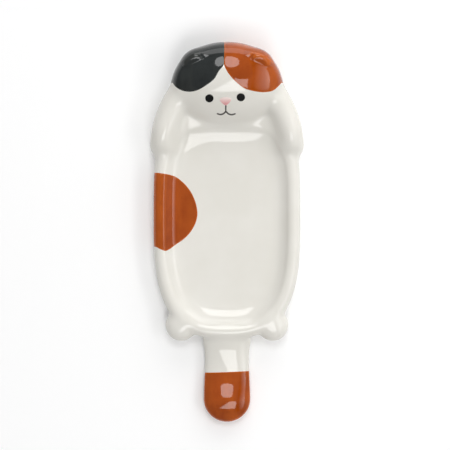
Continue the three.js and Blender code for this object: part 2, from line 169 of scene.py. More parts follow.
# %% [markdown]
# ## The section of the dish
# All round, the dish has one section: a rolled rim on a wall that thickens downwards, a flat floor and a
# foot ring. For a round dish a Screw modifier would turn that profile about an axis. This plan isn't
# round, so the section is drawn with the number from the last step in place of a radius, and it keeps its
# widths wherever the plan bends.

# %% Draw the section
FLOOR = 10.7
FLOOR_THICK = 5.5
FLOOR_FROM = 8.0
WALL_FOOT = (8.5, 5.8)
WALL_FOOT_RADIUS = 5.8
FOOT_AT = 11.5
FOOT_HALF_WIDTH = 2.5
FOOT_HALF_HEIGHT = 3.0
FLOOR_ROUNDING = 6.5
FOOT_ROUNDING = 1.5
rim_height = tray_high[2]


def round_bar(s, z, start, start_radius, end, end_radius):
    way = np.array(end) - np.array(start)
    share = np.clip(((s - start[0]) * way[0] + (z - start[1]) * way[1]) / (way @ way), 0, 1)
    radius = start_radius + (end_radius - start_radius) * share
    return np.hypot(s - start[0] - share * way[0], z - start[1] - share * way[1]) - radius


def dish_clay(x, y, z):
    s = inset(x, y)
    wall = round_bar(s, z, (RIM_ROLL, rim_height - RIM_ROLL), RIM_ROLL, WALL_FOOT, WALL_FOOT_RADIUS)
    floor = np.maximum(np.abs(z - FLOOR + FLOOR_THICK / 2) - FLOOR_THICK / 2, FLOOR_FROM - s)
    foot = np.abs(z - FOOT_HALF_HEIGHT) - FOOT_HALF_HEIGHT
    foot = np.maximum(np.abs(s - FOOT_AT) - FOOT_HALF_WIDTH, foot)
    return join(join(wall, floor, FLOOR_ROUNDING), foot, FOOT_ROUNDING)


print("dish is", round(rim_height - FLOOR, 1), "mm deep")


# %% [markdown]
# ## The head
# The head is a pebble: wider than long, flatter than wide, and tipped so that the face looks a little
# towards the feet. A scaled and turned sphere comes close, but its top bends unevenly, and lamps mirrored
# in the glaze would smear. So the upper half is made taller and then trimmed by a broad, evenly curved
# crown.

# %% Shape the head
HEAD_TIP = math.radians(16)
HEAD_HALF_THICK = 16.6
HEAD_POWER = 2.3
HEAD_LOFT = 1.4
CROWN_AT = 101.5
CROWN_RADII = np.array([58.0, 39.0, 39.0])
CROWN_ROUNDING = 5.0
tip_sin, tip_cos = math.sin(HEAD_TIP), math.cos(HEAD_TIP)
head_half = (head_high - head_low) / 2
head_long = math.sqrt(head_half[1] ** 2 - (HEAD_HALF_THICK * tip_sin) ** 2) / tip_cos
dual = HEAD_POWER / (HEAD_POWER - 1)
head_rise = ((head_long * tip_sin) ** dual + (HEAD_HALF_THICK * tip_cos) ** dual) ** (1 / dual)
head_middle = np.array([0.0, (head_low[1] + head_high[1]) / 2, head_high[2] - head_rise])
head_radii = np.array([head_half[0], head_long, HEAD_HALF_THICK])
crown_height = head_high[2] - CROWN_RADII[2]


def head_clay(x, y, z, wall=0.0):
    dy, dz = y - head_middle[1], z - head_middle[2]
    along, up = dy * tip_cos + dz * tip_sin, dz * tip_cos - dy * tip_sin
    pebble = egg(x, along, np.where(up > 0, up / HEAD_LOFT, up), head_radii - wall, HEAD_POWER)
    crown = egg(x, y - CROWN_AT, z - crown_height, CROWN_RADII - wall)
    return trim(pebble, crown, CROWN_ROUNDING)


print("head middle", np.round(head_middle, 1), "radii", np.round(head_radii, 1))


# %% [markdown]
# ## The crease of an ear
# The inside of each ear meets the forehead in a crisp crease. Its height could be guessed, but a crease
# off the head leaves a step or a ditch. The helper below feels for the top of any skin: it halves a span
# of heights until the span closes on the surface. A curve through three such heights is the crease.

# %% Find the crease
EAR_SEAT = (18.2, 107.8)
EAR_SLANT = math.radians(26)
EAR_CREASE = -1.5
slant_sin, slant_cos = math.sin(EAR_SLANT), math.cos(EAR_SLANT)


def top_of(skin, x, y, lowest, highest):
    low, high = np.full(np.shape(x), lowest), np.full(np.shape(x), highest)
    for _ in range(30):
        middle = (low + high) / 2
        under = skin(x, y, middle) < 0
        low, high = np.where(under, middle, low), np.where(under, high, middle)
    return low


crease_at = np.array([-6.0, 2.0, 10.0])
crease_x = EAR_SEAT[0] + crease_at * slant_cos + EAR_CREASE * slant_sin
crease_y = EAR_SEAT[1] - crease_at * slant_sin + EAR_CREASE * slant_cos
crease_height = top_of(head_clay, crease_x, crease_y, 18.0, 40.0)
crease_curve = np.polyfit(crease_at, crease_height, 2)
print("ear crease lies", np.round(crease_height, 1), "mm above the table")


# %% [markdown]
# ## The ears
# Each ear is a lobe at an upper corner of the head, with a nearly flat inside and a soft roll for a rim.
# It could be sculpted, but then it would have to be sculpted again whenever the head changes. An egg
# trimmed by a sheet that rises from the crease gives flat, roll and crease at once. The lobe is blended
# tightly at the crease and softly at its back, where it grows out of the head.

# %% Shape the ears
EAR_PITCH = 0.44
EAR_RADII = (8.8, 7.2, 9.8)
EAR_AHEAD = 1.6
EAR_HEIGHT = 24.0
EAR_RIM = 2.0
SEAT_BLEND = 1.6
BLEND_OUTWARD = 1.3
BLEND_INWARD = 1.2
INNER_END = -3.0
TIGHTEST_BLEND = 0.8
SOFTEST_BLEND = 6.0


def ear_frame(x, y):
    dx, dy = np.abs(x) - EAR_SEAT[0], y - EAR_SEAT[1]
    return dx * slant_cos - dy * slant_sin, dx * slant_sin + dy * slant_cos


def ear_clay(x, y, z):
    along, out = ear_frame(x, y)
    over = z - np.polyval(crease_curve, along) - EAR_PITCH * (out - EAR_CREASE)
    lobe = egg(along - EAR_AHEAD, out, z - EAR_HEIGHT, EAR_RADII)
    return trim(lobe, over / math.hypot(1, EAR_PITCH), EAR_RIM)


def ear_blend(x, y):
    along, out = ear_frame(x, y)
    inward = np.maximum(INNER_END - along, 0)
    blend_by = SEAT_BLEND + BLEND_OUTWARD * out + BLEND_INWARD * inward
    return np.clip(blend_by, TIGHTEST_BLEND, SOFTEST_BLEND)


ear_rise = math.degrees(math.atan(EAR_PITCH))
print("an ear is", 2 * EAR_RADII[0], "mm long, and its inside rises by", round(ear_rise), "degrees")


# %% [markdown]
# ## The way along an arm
# An arm is a roll of clay laid along a bend from behind the cheek to the elbow. A curve with a bevel
# makes such a roll in Blender, but it can't be blended into head and rim. So the nearest place on the
# bend is worked out for every point: the best of seven guesses first, then a few steps that follow the
# slope.

# %% Find the place along an arm
SHOULDER_HALF = 9.2
ELBOW_HALF = 7.2
ELBOW_MARGIN = 0.3
elbow_x = arm_high[0] - ELBOW_HALF - ELBOW_MARGIN
ARM_START = np.array([22.6, head_middle[1]])
ARM_BEND = np.array([elbow_x - 1.6, head_low[1] + 8.0])
ARM_END = np.array([elbow_x, arm_low[1] + ELBOW_HALF])
arm_way = 2 * (ARM_BEND - ARM_START)
arm_turn = 2 * (ARM_START - 2 * ARM_BEND + ARM_END)


def from_arm(x, y, t):
    return [ARM_START[d] + arm_way[d] * t + arm_turn[d] * t * t / 2 - at for d, at in enumerate((x, y))]


def place_on_arm(x, y):
    t, best = 0.0, np.inf
    for guess in np.linspace(0, 1, 7):
        gap = np.hypot(*from_arm(x, y, guess))
        t, best = np.where(gap < best, guess, t), np.minimum(gap, best)
    for _ in range(5):
        gx, gy = from_arm(x, y, t)
        vx, vy = arm_way[0] + arm_turn[0] * t, arm_way[1] + arm_turn[1] * t
        pace = vx * vx + vy * vy
        bend = np.maximum(pace + gx * arm_turn[0] + gy * arm_turn[1], 0.3 * pace)
        t = np.clip(t - (gx * vx + gy * vy) / bend, 0, 1)
    return t


print("an arm runs from", np.round(ARM_START, 1), "to", np.round(ARM_END, 1))


# %% [markdown]
# ## The arms
# The roll is widest at the shoulder, narrows to the elbow and rolls off there to the rim of the dish.
# Both arms come from one formula, because x enters it without its sign. A Mirror modifier does the same
# to a mesh, but there is no mesh yet. A pinch of filler clay closes the pocket between arm, head and rim,
# as a potter's thumb would.

# %% Shape the arms
ARM_HALF_THICK = 8.0
ARM_TOP = 24.0
ARM_FALL = 1.5
ELBOW_DROOP = 0.02
ELBOW_REACH = 11.0
FILLER_AT = (29.0, 77.0, 8.0)
FILLER_RADII = (9.0, 12.0, 7.5)


def arm_clay(x, y, z):
    t = place_on_arm(np.abs(x), y)
    half_width = SHOULDER_HALF + (ELBOW_HALF - SHOULDER_HALF) * t
    top = ARM_TOP - ARM_FALL * t - ELBOW_DROOP * np.maximum(ARM_END[1] + ELBOW_REACH - y, 0) ** 2
    aside = np.hypot(*from_arm(np.abs(x), y, t))
    return egg(aside, 0.0, z - top + ARM_HALF_THICK, (half_width, 1.0, ARM_HALF_THICK))


def filler_clay(x, y, z):
    return egg(np.abs(x) - FILLER_AT[0], y - FILLER_AT[1], z - FILLER_AT[2], FILLER_RADII)


print("an arm narrows from", 2 * SHOULDER_HALF, "to", 2 * ELBOW_HALF, "mm")


# %% [markdown]
# ## The hind paws
# Two plump balls of clay are pressed onto the lower corners of the rim. Scaled spheres would show a hard
# line where they enter the wall. As eggs with a distance they can be blended into it, and one formula
# makes both.

# %% Shape the hind paws
PAW_AT = (28.9, -58.2, 9.6)
PAW_RADII = (9.8, 10.0, 6.2)


def paw_clay(x, y, z):
    return egg(np.abs(x) - PAW_AT[0], y - PAW_AT[1], z - PAW_AT[2], PAW_RADII)


print("a hind paw is", 2 * PAW_RADII[0], "by", 2 * PAW_RADII[1], "mm")


# %% [markdown]
# ## The tail
# The tail is the handle: a flat bar that sinks behind the rim and swells again at its round end, with air
# below it for the fingers. A loft through drawn rings would need many of them. Here smooth bumps are
# added to the height and width of a plain bar, so each swelling has its own value and none leaves a kink.

# %% Shape the tail
TAIL_AIR = 1.5
TAIL_WAIST = 8.7
TAIL_HALF_WIDTH = 13.75
TAIL_END_RADIUS = 14.4
ROOT_AT = -66.0
ROOT_RISE = 5.2
ROOT_LENGTH = 13.0
ROOT_WIDER = 1.6
ROOT_WIDEST = -64.0
SWELL_AT = -106.5
SWELL_RISE = 3.4
SWELL_LENGTHS = (9.5, 18.0)
SWELL_WIDER = 0.75
SWELL_WIDEST = -105.0
TAIL_FROM = -58.0
tail_tip = tail_low[1] - 0.4


def tail_clay(x, y, z):
    root = np.exp(-(np.maximum(ROOT_AT - y, 0) / ROOT_LENGTH) ** 1.3)
    swell = np.exp(-((y - SWELL_AT) / np.where(y > SWELL_AT, *SWELL_LENGTHS)) ** 2)
    top = TAIL_WAIST + ROOT_RISE * root + SWELL_RISE * swell
    half_width = TAIL_HALF_WIDTH + SWELL_WIDER * np.exp(-((y - SWELL_WIDEST) / 14.0) ** 2)
    half_width = half_width + ROOT_WIDER * np.exp(-((y - ROOT_WIDEST) / 9.0) ** 2)
    aside = np.hypot(x, np.maximum(tail_tip + TAIL_END_RADIUS - y, 0))
    bar = egg(aside, 0.0, z - (top + TAIL_AIR) / 2, (half_width, 1.0, (top - TAIL_AIR) / 2))
    return np.maximum(bar, y - TAIL_FROM)


print("tail reaches", round(ROOT_AT - tail_tip, 1), "mm beyond the rim")


# %% [markdown]
# ## One body under one glaze
# On the real rest one coat of white glaze runs over all the members and hides their seats. They could
# stay separate meshes, but every seat would show as a line. So they are joined as a potter would: arms,
# filler and head on the dish, then paws, tail and ears. The head is hollow and open below, so that it
# dries without cracking, and the whole is levelled on the table.

# %% Join the members
HEAD_WALL = 6.0
DRYING_HOLE = (15.0, 10.0, 1.0)
DRYING_HOLE_TOP = 14.0
HOLE_ROUNDING = 2.0
EDGE_ROUNDING = 1.0
luted = ((arm_clay, 9.0), (filler_clay, 6.0), (head_clay, 5.0), (paw_clay, 4.0), (tail_clay, 4.0))


def body_clay(x, y, z):
    clay = dish_clay(x, y, z)
    for member, rounding in luted:
        clay = join(clay, member(x, y, z), rounding)
    clay = join(clay, ear_clay(x, y, z), ear_blend(x, y))
    hole = np.maximum(egg(x, y - head_middle[1], z * 0, DRYING_HOLE), z - DRYING_HOLE_TOP)
    hollow = join(head_clay(x, y, z, HEAD_WALL), hole, HOLE_ROUNDING)
    return trim(trim(clay, -hollow, EDGE_ROUNDING), -z, EDGE_ROUNDING)


crown_top = top_of(body_clay, np.zeros(1), np.full(1, CROWN_AT), 12.0, 42.0)
print("the crown of the head is", np.round(crown_top, 1), "mm above the table")


# %% [markdown]
# ## Points on the skin
# A glossy glaze shows every dent, so the points of the mesh have to lie exactly on the skin. A Smooth
# modifier evens a mesh out but shrinks it. Here each point is pushed along the slope of the distance
# until that distance is nought.

# %% Settle points on the skin
def slope_of(skin, points, step=0.04):
    x, y, z = points.T
    return np.stack([
        skin(x + step, y, z) - skin(x - step, y, z),
        skin(x, y + step, z) - skin(x, y - step, z),
        skin(x, y, z + step) - skin(x, y, z - step),
    ], axis=1) / (2 * step)


def settle(skin, points, rounds):
    for _ in range(rounds):
        slope = slope_of(skin, points)
        away = skin(*points.T)
        points = points - slope * (away / np.maximum((slope ** 2).sum(axis=1), 0.05))[:, None]
    return points


print("a point above the dish settles at", np.round(settle(body_clay, np.array([[0.0, 0.0, 13.0]]), 3), 2))


# %% [markdown]
# ## From distance to mesh
# The clay is a formula so far, and Blender draws faces. A Remesh modifier needs a mesh to start from. So
# a grid of points is laid through the clay. Every little cube in which the distance changes its sign gets
# one vertex, and every grid line that pierces the skin gets one four-sided face between the four cubes
# around it.

# %% Lay faces between the cubes
def quads_along(d, inside, number):
    size = number.shape
    e, f = (d + 1) % 3, (d + 2) % 3
    first = np.take(inside, range(size[d]), axis=d)
    second = np.take(inside, range(1, size[d] + 1), axis=d)
    at = np.stack(np.nonzero(first != second), axis=1)
    at = at[(at[:, e] > 0) & (at[:, f] > 0) & (at[:, e] < size[e]) & (at[:, f] < size[f])]
    ring = []
    for back_e, back_f in ((1, 1), (0, 1), (0, 0), (1, 0)):
        cell = at.copy()
        cell[:, e] -= back_e
        cell[:, f] -= back_f
        ring.append(number[tuple(cell.T)])
    quads = np.stack(ring, axis=1)
    leaving = first[tuple(at.T)]
    return np.where(leaving[:, None], quads, quads[:, ::-1])


def net(skin, low, high, step):
    axes = [np.arange(a, b + step, step) for a, b in zip(low, high)]
    inside = skin(axes[0][:, None, None], axes[1][None, :, None], axes[2][None, None, :]) < 0
    size = np.array(inside.shape) - 1
    corners = np.zeros(size, dtype=np.int8)
    for i, j, k in np.ndindex(2, 2, 2):
        corners += inside[i:i + size[0], j:j + size[1], k:k + size[2]]
    crossed = (corners > 0) & (corners < 8)
    number = np.full(size, -1)
    number[crossed] = np.arange(crossed.sum())
    points = np.stack([axis[at] for axis, at in zip(axes, np.nonzero(crossed))], axis=1) + step / 2
    return points, np.concatenate([quads_along(d, inside, number) for d in range(3)])


paw_net = net(paw_clay, (15, -75, 0), (45, -45, 20), 2.0)
print("a coarse net round one paw has", len(paw_net[1]), "faces")


# %% [markdown]
# ## Casting the body
# The cast is fine enough for the rolled rim and the ear creases. A Subdivision modifier would round the
# creases off. Instead the points are spread evenly over the skin, each moved half way to the middle of its
# neighbours, and settled again.

# %% Cast the body
def even_out(points, faces):
    total = np.zeros_like(points)
    share = np.zeros(len(points))
    for i in range(4):
        for j in (1, 3):
            np.add.at(total, faces[:, i], points[faces[:, (i + j) % 4]])
            np.add.at(share, faces[:, i], 1)
    return (points + total / share[:, None]) / 2


grid = 0.75
body_low = np.array(cad_box[0]) / MM - 2.0
body_high = np.array(cad_box[1]) / MM + 2.0
skin_points, skin_faces = net(body_clay, body_low, body_high, grid)
skin_points = settle(body_clay, skin_points, 2)
for _ in range(2):
    skin_points = settle(body_clay, even_out(skin_points, skin_faces), 2)
print("body has", len(skin_points), "points and", len(skin_faces), "faces")


# %% [markdown]
# ## A piece in the scene
# In Blender a mesh holds the shape and an object puts it in the scene. Primitives and operators make both
# at once, but they depend on what is selected. Making them by hand doesn't. Each piece is then told which
# body it rides on and which measured nodes it stands for.

# %% Put the body in the scene
def piece(name, points, faces, slot, *nodes):
    mesh = bpy.data.meshes.new(name)
    mesh.from_pydata((points * MM).tolist(), [], [list(map(int, face)) for face in faces])
    mesh.shade_smooth()
    made = bpy.data.objects.new(name, mesh)
    bpy.context.scene.collection.objects.link(made)
    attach(made, "root")
    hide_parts(*nodes)
    print(name, "has", len(mesh.vertices), "points and stands for", ", ".join(nodes))
    return made


clay_members = ("tray", "head", "tail", "arm_left", "arm_right", "hind_paw_left", "hind_paw_right")
body = piece("glazed_body", skin_points, skin_faces, "white_glaze", *clay_members)


# %% [markdown]
# ## Brush lines
# The painter's fields end in lines drawn freehand. A curve object could hold such a line, but cutting a
# skin along it would take a projection. Here a line is a handful of marks with a smooth curve through
# them, and a field is known by one number: how deep a point lies inside its outline, seen from above.

# %% Draw a brush line
def brush_line(marks, steps=8):
    marks = np.array(marks, dtype=float)
    ends = np.vstack([2 * marks[0] - marks[1], marks, 2 * marks[-1] - marks[-2]])
    line = []
    for a, b, c, d in zip(ends, ends[1:], ends[2:], ends[3:]):
        for t in np.arange(steps) / steps:
            line.append(b + 0.5 * t * (c - a + t * (2 * a - 5 * b + 4 * c - d + t * (3 * (b - c) + d - a))))
    return np.array(line + [marks[-1]])


def depth_inside(outline, x, y):
    nearest = np.full(len(x), np.inf)
    crossings = np.zeros(len(x), dtype=bool)
    for a, b in zip(outline, np.roll(outline, -1, axis=0)):
        way = b - a
        share = np.clip(((x - a[0]) * way[0] + (y - a[1]) * way[1]) / max(way @ way, 1e-12), 0, 1)
        nearest = np.minimum(nearest, np.hypot(x - a[0] - share * way[0], y - a[1] - share * way[1]))
        spans = (a[1] > y) != (b[1] > y)
        rise = way[1] if way[1] else 1.0
        crossings ^= spans & (x < a[0] + (y - a[1]) / rise * way[0])
    return np.where(crossings, nearest, -nearest)


print("four marks become a line of", len(brush_line([(0, 0), (1, 1), (2, 0), (3, 1)])), "points")


# %% [markdown]
# ## A patch of skin, finer than the body
# A coat of glaze is a piece of its own, so the skin below it is copied. The body's faces are too coarse
# for a clean brush line, and subdividing the whole body would waste points. So only the faces near the
# field are kept, and each is split into four.

# %% Keep and refine a patch
def used_only(faces, count):
    used = np.unique(faces)
    place = np.full(count, -1)
    place[used] = np.arange(len(used))
    return used, place[faces]


def finer(points, faces):
    edges = np.sort(np.concatenate([faces[:, [i, (i + 1) % 4]] for i in range(4)]), axis=1)
    pairs, which = np.unique(edges, axis=0, return_inverse=True)
    which = which.reshape(4, -1).T + len(points)
    middles = np.arange(len(faces)) + len(points) + len(pairs)
    more = np.concatenate([points, points[pairs].mean(axis=1), points[faces].mean(axis=1)])
    quads = [np.stack([faces[:, i], which[:, i], middles, which[:, i - 1]], axis=1) for i in range(4)]
    return more, np.concatenate(quads)


print("one face becomes", len(finer(np.eye(4)[:, :3], np.array([[0, 1, 2, 3]]))[1]), "faces")


# %% [markdown]
# ## Cutting along the brush line
# The edge of a field must follow the brush and not the grid, or it turns into saw teeth. A knife
# projection depends on the view. Here every triangle that the line crosses is cut where the depth is
# nought: one corner inside leaves a triangle, two corners inside leave two.

# %% Cut a patch along its line
def clipped(points, triangles, depth):
    count = (depth[triangles] > 0).sum(axis=1)
    cut = triangles[(count == 1) | (count == 2)]
    lone_inside = (depth[cut] > 0).sum(axis=1) == 1
    odd = np.argmax((depth[cut] > 0) == lone_inside[:, None], axis=1)
    turned = cut[np.arange(len(cut))[:, None], (odd[:, None] + np.arange(3)) % 3]
    edges = np.sort(np.concatenate([turned[:, [0, 1]], turned[:, [2, 0]]]), axis=1)
    pairs, which = np.unique(edges, axis=0, return_inverse=True)
    which = which.reshape(2, -1) + len(points)
    a, b = depth[pairs[:, 0]], depth[pairs[:, 1]]
    on_line = points[pairs[:, 0]] + (points[pairs[:, 1]] - points[pairs[:, 0]]) * (a / (a - b))[:, None]
    one, two = turned[lone_inside], turned[~lone_inside]
    w1, w2 = which[:, lone_inside], which[:, ~lone_inside]
    made = np.concatenate([
        triangles[count == 3],
        np.stack([one[:, 0], w1[0], w1[1]], axis=1),
        np.stack([w2[0], two[:, 1], two[:, 2]], axis=1),
        np.stack([w2[0], two[:, 2], w2[1]], axis=1),
    ])
    return np.concatenate([points, on_line]), made, np.concatenate([depth, np.zeros(len(pairs))])


halved = clipped(np.eye(3), np.array([[0, 1, 2]]), np.array([1.0, 1.0, -1.0]))
print("a triangle with two corners inside leaves", len(halved[1]), "triangles")


# %% [markdown]
# ## Giving the coat a thickness
# Brushed glaze stands a tenth of a millimetre proud and thins out towards its edge. A Solidify modifier
# gives one even thickness with a square edge. So the top of the coat is raised by an amount that grows
# with the depth inside the line, the bottom is bedded in the clay, and a band of faces closes the border.

# %% Thicken a patch
COAT = 0.14
COAT_SOFT = 0.8
LEAST_LIFT = 0.005
BED = 0.3


def coat_shell(points, triangles, depth, thick=COAT, soft=COAT_SOFT):
    slope = slope_of(body_clay, points)
    out = slope / np.linalg.norm(slope, axis=1)[:, None]
    lift = thick * (1 - np.exp(-np.maximum(depth, 0) / soft)) + LEAST_LIFT
    top, bottom = points + out * lift[:, None], points - out * BED
    edges = np.concatenate([triangles[:, [i, (i + 1) % 3]] for i in range(3)])
    _, first, times = np.unique(np.sort(edges, axis=1), axis=0, return_index=True, return_counts=True)
    count = len(points)
    sides = [[b, a, a + count, b + count] for a, b in edges[first[times == 1]]]
    faces = list(triangles) + list(triangles[:, ::-1] + count) + sides
    return np.concatenate([top, bottom]), faces


print("coats are", COAT, "mm thick and bedded", BED, "mm deep")


# %% [markdown]
# ## A whole coat
# Copying, refining, cutting and thickening make one coat. It could be painted as a picture on the body
# instead, but then it would have no thickness and no piece of its own. The depth inside the line is
# stored on the points of the coat, where the glaze will read it later to grow paler along its edge.

# %% Lay a coat
COAT_MARGIN = 1.0


def coat(name, depth_at, slot, *nodes):
    near = (depth_at(*skin_points.T)[skin_faces] > -COAT_MARGIN).any(axis=1)
    used, faces = used_only(skin_faces[near], len(skin_points))
    points, faces = finer(skin_points[used], faces)
    points = settle(body_clay, points, 2)
    triangles = np.concatenate([faces[:, [0, 1, 2]], faces[:, [0, 2, 3]]])
    points, triangles, depth = clipped(points, triangles, depth_at(*points.T))
    used, triangles = used_only(triangles, len(points))
    points, depth = settle(body_clay, points[used], 2), depth[used]
    made = piece(name, *coat_shell(points, triangles, depth), slot, *nodes)
    stored_depth = made.data.attributes.new("depth", "FLOAT", "POINT")
    stored_depth.data.foreach_set("value", np.concatenate([depth, depth]).astype(np.float32))
    return made


print("a coat starts from the faces within", COAT_MARGIN, "mm of its line")


# %% [markdown]
# ## The caps on the head
# A charcoal cap and an orange cap cover the ears and the crown. They meet in a seam a little left of the
# middle and open into a white blaze over the nose. Painted by material on the body's own faces they would
# get stepped edges, so each is a coat. Its marks are measured from the middle of the head, and the
# outline is closed far outside it.

# %% Brush the caps
CAP_HEM = 6.0
CAP_REACH = 3.0
FAR = 70.0
head_y = head_middle[1]
seam_marks = [(-1.6, 24.5), (-1.7, 16.0), (-1.9, 10.9)]
dark_marks = seam_marks + [(-5.2, 6.3), (-8.0, 1.6), (-12.8, -2.1), (-18.1, -5.0), (-23.3, -6.0),
                           (-28.5, -5.0), (-32.2, -2.6), (-34.1, 0.0)]
orange_marks = seam_marks + [(-0.2, 6.7), (2.4, 3.1), (6.1, -0.6), (10.8, -4.0), (16.1, -5.6),
                             (22.4, -6.3), (28.2, -5.4), (31.8, -2.7), (34.2, 0.0)]


def cap_depth(marks, hand):
    line = brush_line(marks) + np.array([0.0, head_y])
    rest = np.array([(hand * FAR, line[-1, 1]), (hand * FAR, head_y + FAR), (line[0, 0], head_y + FAR)])
    outline = np.concatenate([line, rest])

    def depth_at(x, y, z):
        outside = head_clay(x, y, z) + CAP_REACH
        return np.minimum(np.minimum(depth_inside(outline, x, y), z - CAP_HEM), outside)
    return depth_at


dark_cap = coat("dark_cap_glaze", cap_depth(dark_marks, -1), "dark_glaze", "dark_cap", "ear_left")
orange_cap = coat("orange_cap_glaze", cap_depth(orange_marks, 1), "orange_glaze", "orange_cap", "ear_right")


# %% [markdown]
# ## The flank patch
# A round orange patch runs from the dish over the left rim and down the outside, ending above the foot. A
# decal laid on from above would smear down that steep side. As a coat it is cut from the skin itself, so
# it keeps its thickness over the rim.

# %% Brush the flank
FLANK_HEM = 6.0
flank_marks = [(-60.0, 38.0), (-47.0, 37.8), (-40.3, 37.3), (-32.1, 35.1), (-25.2, 29.1), (-20.8, 21.9),
               (-18.7, 13.7), (-19.5, 7.1), (-22.7, 0.8), (-27.1, -3.9), (-32.1, -7.4), (-35.9, -10.2),
               (-38.7, -11.4), (-42.2, -10.2), (-46.0, -8.7), (-60.0, -7.0)]
flank_outline = brush_line(flank_marks)


def flank_depth(x, y, z):
    return np.minimum(depth_inside(flank_outline, x, y), z - FLANK_HEM)


flank_patch = coat("flank_glaze", flank_depth, "orange_glaze", "flank_patch")


# %% [markdown]
# ## The dipped tail
# The end of the tail was dipped in orange, which left a nearly straight line across it and colour all
# round. A plane could cut it off, but the real line wavers a little. So it is a brush line too, closed
# well beyond the tip.

# %% Dip the tail
dip_marks = [(-20.0, -88.5), (-14.0, -88.4), (-7.0, -88.2), (0.0, -87.9), (8.0, -87.6), (20.0, -87.2)]
beyond_tip = [(40.0, -88.0), (40.0, -150.0), (-40.0, -150.0)]
dip_outline = np.concatenate([brush_line(dip_marks), beyond_tip])


def dip_depth(x, y, z):
    return depth_inside(dip_outline, x, y)


tail_dip = coat("tail_dip_glaze", dip_depth, "orange_glaze", "tail_dip")


# %% [markdown]
# ## Drops of stain
# Eyes and nose are drops of thick stain that stand up like beads. They are too small to be cut from the
# body's skin, and a squashed sphere wouldn't follow the curve of the face. So each gets its own fine
# mesh: rings drawn flat inside an outline, let down onto the head and thickened most in the middle.

# %% Set a drop
DROP_RINGS = 9
DROP_SOFT = 0.35


def down_on_body(x, y):
    return np.stack([x, y, top_of(body_clay, x, y, 12.0, 42.0)], axis=1)


def drop(name, outline, thick, slot, *nodes):
    centre, count = outline.mean(axis=0), len(outline)
    shares = np.sin(np.arange(1, DROP_RINGS + 1) / DROP_RINGS * math.pi / 2)
    plan = np.concatenate([[centre]] + [centre + (outline - centre) * share for share in shares])
    heights = [np.full(count, math.sqrt(max(0, 1 - share ** 2))) for share in shares]
    heights = np.concatenate([[1.0]] + heights)
    at = np.arange(count)
    after = (at + 1) % count
    triangles = [np.stack([np.zeros(count, dtype=int), 1 + at, 1 + after], axis=1)]
    for ring in range(DROP_RINGS - 1):
        inner, outer = 1 + ring * count, 1 + (ring + 1) * count
        triangles.append(np.stack([inner + at, outer + at, outer + after], axis=1))
        triangles.append(np.stack([inner + at, outer + after, inner + after], axis=1))
    shell, faces = coat_shell(down_on_body(*plan.T), np.concatenate(triangles), heights, thick, DROP_SOFT)
    return piece(name, shell, faces, slot, *nodes)


print("the bridge of the nose is at", np.round(down_on_body(np.zeros(1), np.full(1, 86.0)), 1))


# %% [markdown]
# ## Eyes and nose
# The eyes are two nearly round beads, the right one set a little higher, and the nose is a soft triangle.
# Copies of one eye would be quicker, but a hand-painted face isn't even, and each drop has to follow the
# head where it lies.

# %% Paint the eyes and the nose
EYE_SIZE = (5.2, 4.9)
EYE_THICK = 0.25
NOSE_THICK = 0.3


def oval(x, y, width, length, sides=40):
    turn = np.arange(sides) / sides * 2 * math.pi
    return np.stack([x + width / 2 * np.cos(turn), y + length / 2 * np.sin(turn)], axis=1)


eye_left = drop("eye_left_drop", oval(-11.0, 83.8, *EYE_SIZE), EYE_THICK, "eye_black", "eye_left")
eye_right = drop("eye_right_drop", oval(8.6, 84.4, *EYE_SIZE), EYE_THICK, "eye_black", "eye_right")
nose_marks = [(-1.0, 84.4), (-2.6, 84.3), (-4.2, 83.6), (-4.4, 82.6), (-3.4, 81.2), (-2.0, 80.0),
              (-0.9, 79.5), (0.2, 80.0), (1.6, 81.2), (2.6, 82.6), (2.4, 83.6), (0.7, 84.3), (-1.0, 84.4)]
nose = drop("nose_drop", brush_line(nose_marks, 4)[:-1], NOSE_THICK, "nose_pink", "nose")


# %% [markdown]
# ## The mouth
# The mouth is three strokes of a fine brush that meet below the nose. A curve with a bevel would lie on
# the face like a wire. A stroke is a flat ribbon here, five points wide and narrower at its ends, let
# down onto the head and thickened like a coat. The three ribbons become one piece.

# %% Stroke the mouth
STROKE_WIDTH = 0.95
STROKE_THICK = 0.16
STROKE_SOFT = 0.5


def stroke(line, width):
    way = np.gradient(line, axis=0)
    way /= np.linalg.norm(way, axis=1)[:, None]
    side = np.stack([-way[:, 1], way[:, 0]], axis=1)
    ends = np.minimum(np.arange(len(line)), np.arange(len(line))[::-1]) / 3
    half = width / 2 * np.sqrt(np.minimum(1, 0.35 + ends))
    across = np.array([-1.0, -0.7, 0.0, 0.7, 1.0])
    plan = (line[:, None, :] + side[:, None, :] * (half[:, None] * across)[:, :, None]).reshape(-1, 2)
    height = np.tile(1 - np.abs(across), len(line))
    i = (np.arange(len(line) - 1)[:, None] * 5 + np.arange(4)).ravel()
    triangles = np.concatenate([np.stack([i, i + 5, i + 6], axis=1), np.stack([i, i + 6, i + 1], axis=1)])
    return coat_shell(down_on_body(*plan.T), triangles[:, ::-1], height, STROKE_THICK, STROKE_SOFT)


mouth_lines = [[(-0.7, 79.6), (-0.8, 77.6), (-0.7, 75.8)],
               [(-0.7, 75.9), (-2.2, 74.5), (-4.2, 74.0), (-6.4, 74.6)],
               [(-0.7, 75.9), (0.9, 74.4), (3.0, 73.9), (5.4, 74.5)]]
mouth_points, mouth_faces, so_far = [], [], 0
for marks in mouth_lines:
    points, faces = stroke(brush_line(marks, 10), STROKE_WIDTH)
    mouth_points.append(points)
    mouth_faces += [[int(i) + so_far for i in face] for face in faces]
    so_far += len(points)
mouth = piece("mouth_strokes", np.concatenate(mouth_points), mouth_faces, "mouth_grey", "mouth")
